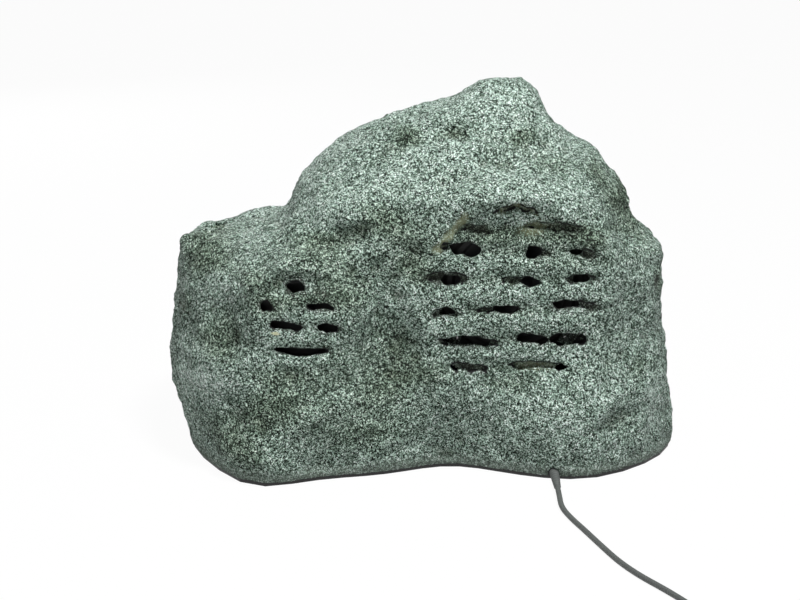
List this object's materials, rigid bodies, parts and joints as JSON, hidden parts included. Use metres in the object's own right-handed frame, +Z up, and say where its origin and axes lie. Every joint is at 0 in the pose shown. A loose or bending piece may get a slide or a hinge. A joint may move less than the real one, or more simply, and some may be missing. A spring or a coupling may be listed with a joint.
{
  "type": "rock shaped garden speaker",
  "caption": "Garden loudspeaker moulded as a grey-green granite rock, with slotted grilles over a woofer and a tweeter, a flat base and a short cable.",
  "frame": {"origin": "on the ground, below the middle of the rock's box", "axes": "+X to the listener's right along the rock's width, -Y towards the listener, +Z up"},
  "size_m": [0.5428, 0.7564, 0.384],
  "materials": {
    "granite_resin": "moulded resin rock with a stone chip finish",
    "black_plastic": "black moulded plastic",
    "black_rubber": "soft black rubber",
    "screw_steel": "plated steel",
    "frame_paint": "black painted steel",
    "cone_plastic": "dark grey moulded cone",
    "copper_wire": "enamelled copper",
    "spider_cloth": "stiffened cloth",
    "motor_steel": "plated steel",
    "ferrite": "dark ferrite",
    "board": "board and terminal strips",
    "dome_cloth": "coated cloth dome",
    "nylon": "white nylon",
    "capacitor_film": "capacitor sleeve",
    "resistor_body": "cement resistor",
    "terminal_block": "terminal block",
    "lead_sheath": "flat two core lead",
    "cable_sheath": "grey cable sheath",
    "core_sheath": "insulated cores"
  },
  "bodies": {
    "root": {"rock_shell": "granite_resin", "base_plate": "black_plastic", "base_seal": "black_rubber", "base_screws": "screw_steel", "woofer_frame": "frame_paint", "woofer_seal": "black_rubber", "woofer_surround": "black_rubber", "woofer_cone": "cone_plastic", "woofer_dust_cap": "cone_plastic", "woofer_voice_coil": "copper_wire", "woofer_spider": "spider_cloth", "woofer_top_plate": "motor_steel", "woofer_magnet": "ferrite", "woofer_yoke": "motor_steel", "woofer_terminals": "board", "woofer_screws": "screw_steel", "tweeter_faceplate": "black_plastic", "tweeter_dome": "dome_cloth", "tweeter_magnet": "ferrite", "tweeter_back_plate": "motor_steel", "tweeter_terminals": "board", "tweeter_screws": "screw_steel", "crossover_board": "board", "crossover_standoffs": "nylon", "crossover_screws": "screw_steel", "crossover_inductor": "copper_wire", "crossover_capacitor": "capacitor_film", "crossover_resistor": "resistor_body", "crossover_terminals": "terminal_block", "woofer_lead": "lead_sheath", "tweeter_lead": "lead_sheath", "cable_boot": "cable_sheath", "cable_clamp": "black_plastic", "clamp_screws": "screw_steel", "cable_inside": "cable_sheath", "cable_run": "cable_sheath", "cable_coil": "cable_sheath", "cable_tie": "black_plastic", "cable_cores": "core_sheath", "core_tips": "copper_wire"}
  },
  "joints": []
}
